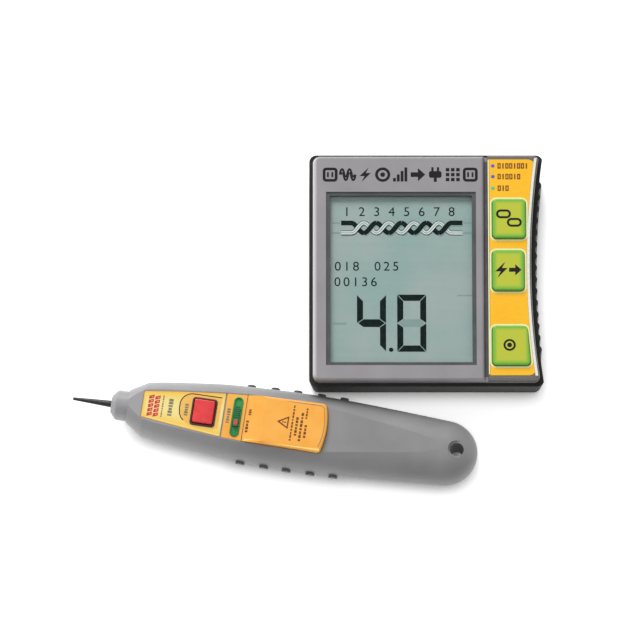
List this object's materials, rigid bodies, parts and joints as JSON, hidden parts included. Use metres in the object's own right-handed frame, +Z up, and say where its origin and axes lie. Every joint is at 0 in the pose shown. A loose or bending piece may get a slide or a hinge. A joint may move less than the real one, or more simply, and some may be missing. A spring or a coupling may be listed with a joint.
{
  "type": "circuit breaker finder",
  "caption": "Cable and breaker finder set: a pen-shaped receiver wand with a lift-off battery door, and a square display tester with push keys and a socket.",
  "frame": {"origin": "under the middle of the set's bounding box, on the bench that both pieces lie on", "axes": "+Z up from the bench, +X to the tester's right side, +Y to its far edge; the wand lies in front of it with its point towards -X"},
  "size_m": [0.2527, 0.1824, 0.032],
  "materials": {
    "grey_abs": "moulded, fine spark texture",
    "light_grey_abs": "moulded, satin",
    "black_abs": "moulded, satin",
    "silver_plastic": "painted silver",
    "grey_rubber": "overmoulded, matte",
    "black_rubber": "overmoulded, matte",
    "brass_black_nickel": "black plated",
    "pale_yellow_film": "printed film",
    "amber_film": "printed film",
    "amber_abs": "moulded, semi gloss",
    "red_abs": "moulded, semi gloss",
    "green_abs": "moulded, gloss",
    "dark_green_abs": "moulded, gloss",
    "lime_silicone": "moulded silicone, satin",
    "dark_abs": "moulded, satin",
    "clear_acrylic": "polished",
    "lcd_glass": "reflective display",
    "blue_led": "clear tinted resin",
    "violet_led": "clear tinted resin",
    "green_led": "clear tinted resin",
    "circuit_board": "solder mask",
    "chip_epoxy": "moulded epoxy",
    "nickel_steel": "nickel plated",
    "gold_contact": "gold plated",
    "ferrite": "sintered",
    "cell_sleeve": "printed sleeve",
    "zinc_screw": "zinc plated",
    "speaker_frame": "painted frame, paper cone"
  },
  "bodies": {
    "tester": {"rear_case": "black_abs", "side_grip": "black_rubber", "front_shell": "light_grey_abs", "keypad_frame": "silver_plastic", "keypad_label": "amber_film", "key_domes": "nickel_steel", "network_led": "violet_led", "phone_led": "blue_led", "power_led": "green_led", "lcd_bezel": "dark_abs", "lcd_lens": "clear_acrylic", "lcd_module": "lcd_glass", "lcd_contact_strip_1": "grey_rubber", "lcd_contact_strip_2": "grey_rubber", "tester_circuit_board": "circuit_board", "tester_chips": "chip_epoxy", "buzzer": "chip_epoxy", "network_jack": "dark_abs", "jack_contacts": "gold_contact", "aa_cell_1": "cell_sleeve", "aa_cell_2": "cell_sleeve", "aa_cell_3": "cell_sleeve", "aa_cell_4": "cell_sleeve", "battery_contacts": "nickel_steel", "tester_screws": "zinc_screw"},
    "probe": {"antenna_tip": "brass_black_nickel", "tip_seal": "black_rubber", "nose_collar": "grey_abs", "probe_top_shell": "grey_abs", "probe_base_shell": "grey_abs", "far_grip_ribs": "black_rubber", "near_grip_ribs": "black_rubber", "control_label": "pale_yellow_film", "button_bezel": "dark_abs", "switch_plate": "amber_abs", "slot_bezel": "green_abs", "probe_circuit_board": "circuit_board", "tact_switch": "chip_epoxy", "slide_switch": "chip_epoxy", "probe_chips": "chip_epoxy", "ferrite_core": "ferrite", "battery_cradle": "black_abs", "aaa_cell_1": "cell_sleeve", "aaa_cell_2": "cell_sleeve", "cell_contacts": "nickel_steel", "loudspeaker": "speaker_frame", "probe_screws": "zinc_screw"},
    "power_button": {"power_button": "red_abs"},
    "sensitivity_slider": {"slider_knob": "dark_green_abs", "slider_index": "red_abs"},
    "probe_door": {"probe_battery_door": "amber_abs"},
    "upper_key": {"upper_key": "lime_silicone"},
    "middle_key": {"middle_key": "lime_silicone"},
    "lower_key": {"lower_key": "lime_silicone"},
    "tester_door": {"tester_battery_door": "black_abs"}
  },
  "joints": [
    {"name": "probe_lift", "type": "slide", "parent": "tester", "child": "probe", "axis": [0, 0, 1], "range_m": [0, 0.15]},
    {"name": "power_button_press", "type": "slide", "parent": "probe", "child": "power_button", "axis": [0, 0, -1], "range_m": [0, 0.0014], "stiffness_N_per_m": 500},
    {"name": "sensitivity_slide", "type": "slide", "parent": "probe", "child": "sensitivity_slider", "axis": [0.1478, 0.989, 0], "range_m": [-0.004, 0.004]},
    {"name": "probe_door_lift", "type": "slide", "parent": "probe", "child": "probe_door", "axis": [0, 0, 1], "range_m": [0, 0.02]},
    {"name": "upper_key_press", "type": "slide", "parent": "tester", "child": "upper_key", "axis": [0, 0, -1], "range_m": [0, 0.0012], "stiffness_N_per_m": 800},
    {"name": "middle_key_press", "type": "slide", "parent": "tester", "child": "middle_key", "axis": [0, 0, -1], "range_m": [0, 0.0012], "stiffness_N_per_m": 800},
    {"name": "lower_key_press", "type": "slide", "parent": "tester", "child": "lower_key", "axis": [0, 0, -1], "range_m": [0, 0.0012], "stiffness_N_per_m": 800},
    {"name": "tester_door_slide", "type": "slide", "parent": "tester", "child": "tester_door", "axis": [0, -1, 0], "range_m": [0, 0.01]}
  ]
}
